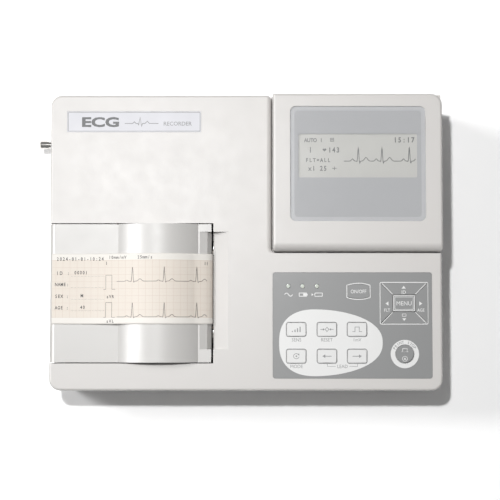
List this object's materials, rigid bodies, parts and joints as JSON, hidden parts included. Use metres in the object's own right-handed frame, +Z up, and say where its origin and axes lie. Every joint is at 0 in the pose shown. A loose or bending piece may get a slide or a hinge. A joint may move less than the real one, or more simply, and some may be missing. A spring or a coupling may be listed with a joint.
{
  "type": "ecg machine",
  "caption": "Portable ECG recorder: flat case with raised display pod, push-button keypad and a hinged cover over a thermal paper roll and its printing drive.",
  "frame": {"origin": "on the bench, under the middle of the machine's outer box, earth stud included", "axes": "+X along the length towards the display and keypad side, +Y to the rear, +Z up"},
  "size_m": [0.292, 0.21, 0.0693],
  "materials": {
    "case_white": "fine texture, satin",
    "lens_grey": "gloss, clear window",
    "lcd": "reflective liquid-crystal display",
    "steel_sheet": "zinc plated",
    "circuit_board": "green solder mask",
    "plate_lavender": "satin film",
    "overlay_grey": "fine embossed polyester",
    "black_plastic": "satin",
    "lamp_clear": "diffused",
    "inner_white": "moulded",
    "bright_steel": "ground",
    "head_ceramic": "glazed",
    "aluminium": "extruded",
    "brass": "machined",
    "gear_white": "acetal",
    "platen_rubber": "ground rubber",
    "paper": "smooth thermal paper with a printed grid",
    "battery_sleeve": "shrink sleeve",
    "nickel": "nickel plated",
    "key_white": "satin",
    "foot_rubber": "moulded"
  },
  "bodies": {
    "housing": {"bottom_case": "case_white", "top_case": "case_white", "display_housing": "case_white", "display_lens": "lens_grey", "lcd_glass": "lcd", "lcd_frame": "steel_sheet", "lcd_board": "circuit_board", "nameplate": "plate_lavender", "keypad_overlay": "overlay_grey", "keypad_board": "circuit_board", "key_switches": "black_plastic", "indicator_lamps": "lamp_clear", "paper_tray": "inner_white", "hinge_pin": "bright_steel", "recorder_frame": "steel_sheet", "frame_pins": "bright_steel", "drive_motor": "steel_sheet", "tear_bar": "bright_steel", "main_board": "circuit_board", "board_chips": "black_plastic", "power_board": "circuit_board", "power_parts": "black_plastic", "battery_pack": "battery_sleeve", "battery_door": "case_white", "mains_inlet": "black_plastic", "switch_housing": "black_plastic", "earth_stud": "nickel", "patient_socket": "nickel", "serial_socket": "nickel", "signal_socket": "black_plastic", "speaker": "black_plastic", "rubber_feet": "foot_rubber", "screws": "bright_steel"},
    "cover": {"recorder_cover": "case_white", "platen_bushes": "brass", "paper_strip": "paper"},
    "platen": {"platen_shaft": "bright_steel", "platen_rubber": "platen_rubber", "platen_gear": "gear_white"},
    "roll": {"paper_roll": "paper", "roll_spindle": "inner_white"},
    "idler": {"idler_gear": "gear_white"},
    "pinion": {"motor_pinion": "brass"},
    "head": {"print_head": "head_ceramic", "head_heatsink": "aluminium", "head_springs": "bright_steel"},
    "mains_rocker": {"switch_rocker": "black_plastic"},
    "key_sens_cap": {"key_sens": "key_white"},
    "key_reset_cap": {"key_reset": "key_white"},
    "key_calibrate_cap": {"key_calibrate": "key_white"},
    "key_mode_cap": {"key_mode": "key_white"},
    "key_lead_back_cap": {"key_lead_back": "key_white"},
    "key_lead_next_cap": {"key_lead_next": "key_white"},
    "key_on_off_cap": {"key_on_off": "overlay_grey"},
    "key_menu_cap": {"key_menu": "overlay_grey"},
    "key_up_cap": {"key_up": "overlay_grey"},
    "key_down_cap": {"key_down": "overlay_grey"},
    "key_left_cap": {"key_left": "overlay_grey"},
    "key_right_cap": {"key_right": "overlay_grey"},
    "key_print_stop_cap": {"key_print_stop": "key_white"}
  },
  "joints": [
    {"name": "cover_hinge", "type": "hinge", "parent": "housing", "child": "cover", "pos_m": [-0.126, 0, 0.038], "axis": [0, -1, 0], "range_deg": [0, 85]},
    {"name": "roll_spin", "type": "hinge", "parent": "housing", "child": "roll", "pos_m": [-0.05515, 0, 0.04], "axis": [0, -1, 0], "continuous": true},
    {"name": "platen_spin", "type": "hinge", "parent": "cover", "child": "platen", "pos_m": [-0.0234, 0, 0.0435], "axis": [0, -1, 0], "continuous": true},
    {"name": "idler_spin", "type": "hinge", "parent": "housing", "child": "idler", "pos_m": [-0.0234, 0, 0.032], "axis": [0, -1, 0], "continuous": true},
    {"name": "pinion_spin", "type": "hinge", "parent": "housing", "child": "pinion", "pos_m": [-0.01133, 0, 0.02188], "axis": [0, -1, 0], "continuous": true},
    {"name": "head_pivot", "type": "hinge", "parent": "housing", "child": "head", "pos_m": [-0.01115, 0, 0.037], "axis": [0, 1, 0], "range_deg": [0, 1.6], "stiffness_Nm_per_rad": 0.5, "springref_deg": -5.73},
    {"name": "rocker_pivot", "type": "hinge", "parent": "housing", "child": "mains_rocker", "pos_m": [-0.125, 0.027, 0.017], "axis": [0, 1, 0], "range_deg": [0, 16]},
    {"name": "key_sens_press", "type": "slide", "parent": "housing", "child": "key_sens_cap", "axis": [0, 0, -1], "range_m": [0, 0.00035], "stiffness_N_per_m": 300, "springref_m": -0.001},
    {"name": "key_reset_press", "type": "slide", "parent": "housing", "child": "key_reset_cap", "axis": [0, 0, -1], "range_m": [0, 0.00035], "stiffness_N_per_m": 300, "springref_m": -0.001},
    {"name": "key_calibrate_press", "type": "slide", "parent": "housing", "child": "key_calibrate_cap", "axis": [0, 0, -1], "range_m": [0, 0.00035], "stiffness_N_per_m": 300, "springref_m": -0.001},
    {"name": "key_mode_press", "type": "slide", "parent": "housing", "child": "key_mode_cap", "axis": [0, 0, -1], "range_m": [0, 0.00035], "stiffness_N_per_m": 300, "springref_m": -0.001},
    {"name": "key_lead_back_press", "type": "slide", "parent": "housing", "child": "key_lead_back_cap", "axis": [0, 0, -1], "range_m": [0, 0.00035], "stiffness_N_per_m": 300, "springref_m": -0.001},
    {"name": "key_lead_next_press", "type": "slide", "parent": "housing", "child": "key_lead_next_cap", "axis": [0, 0, -1], "range_m": [0, 0.00035], "stiffness_N_per_m": 300, "springref_m": -0.001},
    {"name": "key_on_off_press", "type": "slide", "parent": "housing", "child": "key_on_off_cap", "axis": [0, 0, -1], "range_m": [0, 0.00035], "stiffness_N_per_m": 300, "springref_m": -0.001},
    {"name": "key_menu_press", "type": "slide", "parent": "housing", "child": "key_menu_cap", "axis": [0, 0, -1], "range_m": [0, 0.00035], "stiffness_N_per_m": 300, "springref_m": -0.001},
    {"name": "key_up_press", "type": "slide", "parent": "housing", "child": "key_up_cap", "axis": [0, 0, -1], "range_m": [0, 0.00035], "stiffness_N_per_m": 300, "springref_m": -0.001},
    {"name": "key_down_press", "type": "slide", "parent": "housing", "child": "key_down_cap", "axis": [0, 0, -1], "range_m": [0, 0.00035], "stiffness_N_per_m": 300, "springref_m": -0.001},
    {"name": "key_left_press", "type": "slide", "parent": "housing", "child": "key_left_cap", "axis": [0, 0, -1], "range_m": [0, 0.00035], "stiffness_N_per_m": 300, "springref_m": -0.001},
    {"name": "key_right_press", "type": "slide", "parent": "housing", "child": "key_right_cap", "axis": [0, 0, -1], "range_m": [0, 0.00035], "stiffness_N_per_m": 300, "springref_m": -0.001},
    {"name": "key_print_stop_press", "type": "slide", "parent": "housing", "child": "key_print_stop_cap", "axis": [0, 0, -1], "range_m": [0, 0.00035], "stiffness_N_per_m": 300, "springref_m": -0.001}
  ],
  "couplings": [
    {"joint": "platen_spin", "follows": "roll_spin", "ratio": 4},
    {"joint": "idler_spin", "follows": "roll_spin", "ratio": -6.2222},
    {"joint": "pinion_spin", "follows": "roll_spin", "ratio": 15.556}
  ]
}
